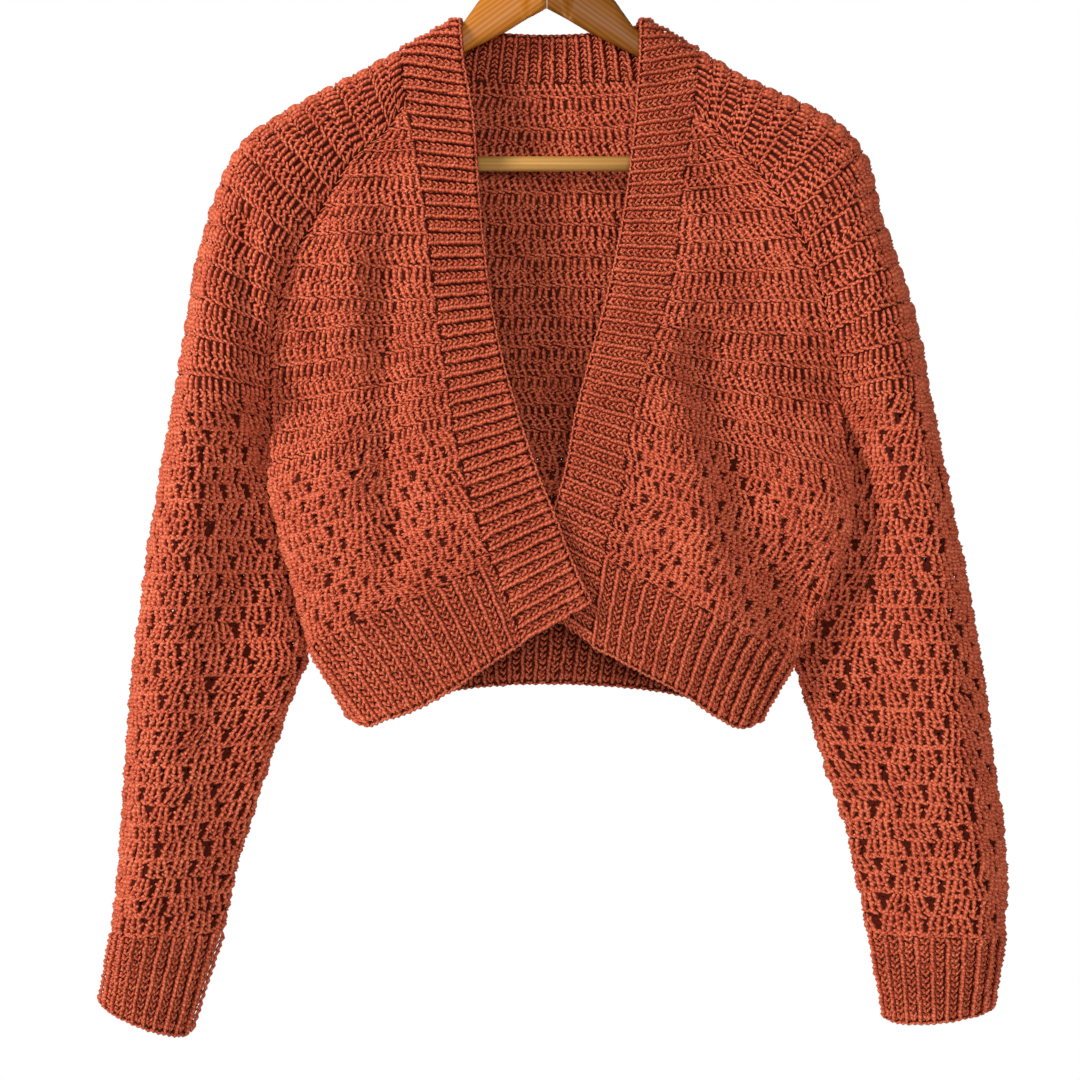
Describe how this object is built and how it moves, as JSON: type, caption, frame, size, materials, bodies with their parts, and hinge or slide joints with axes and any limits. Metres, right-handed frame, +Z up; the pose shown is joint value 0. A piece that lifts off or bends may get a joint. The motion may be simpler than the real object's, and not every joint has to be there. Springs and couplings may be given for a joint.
{
  "type": "crochet cardigan on a wooden clothes hanger",
  "caption": "Cropped crochet cardigan with raglan sleeves and ribbed edges, hanging on a wooden hanger with a trouser bar.",
  "frame": {"origin": "top of the inside of the hanger's hook, where a rail carries it", "axes": "+Z up, +X to the viewer's right (the wearer's left), +Y away from the viewer, who faces the cardigan's front"},
  "size_m": [0.6627, 0.1054, 0.8539],
  "materials": {
    "yarn": "matte crochet yarn, rust orange",
    "yarn_rib": "matte crochet ribbing, rust orange",
    "honey_wood": "clear satin lacquer",
    "pale_wood": "plain dowel, satin",
    "hook_wire": "plated wire"
  },
  "bodies": {
    "root": {"back": "yarn", "front_right": "yarn", "front_left": "yarn", "sleeve_right": "yarn", "sleeve_left": "yarn", "band": "yarn_rib", "hem_rib": "yarn_rib", "cuff_right": "yarn_rib", "cuff_left": "yarn_rib", "hanger_arm_right": "honey_wood", "hanger_arm_left": "honey_wood", "hanger_bar": "pale_wood", "hanger_hook": "hook_wire"}
  },
  "joints": []
}
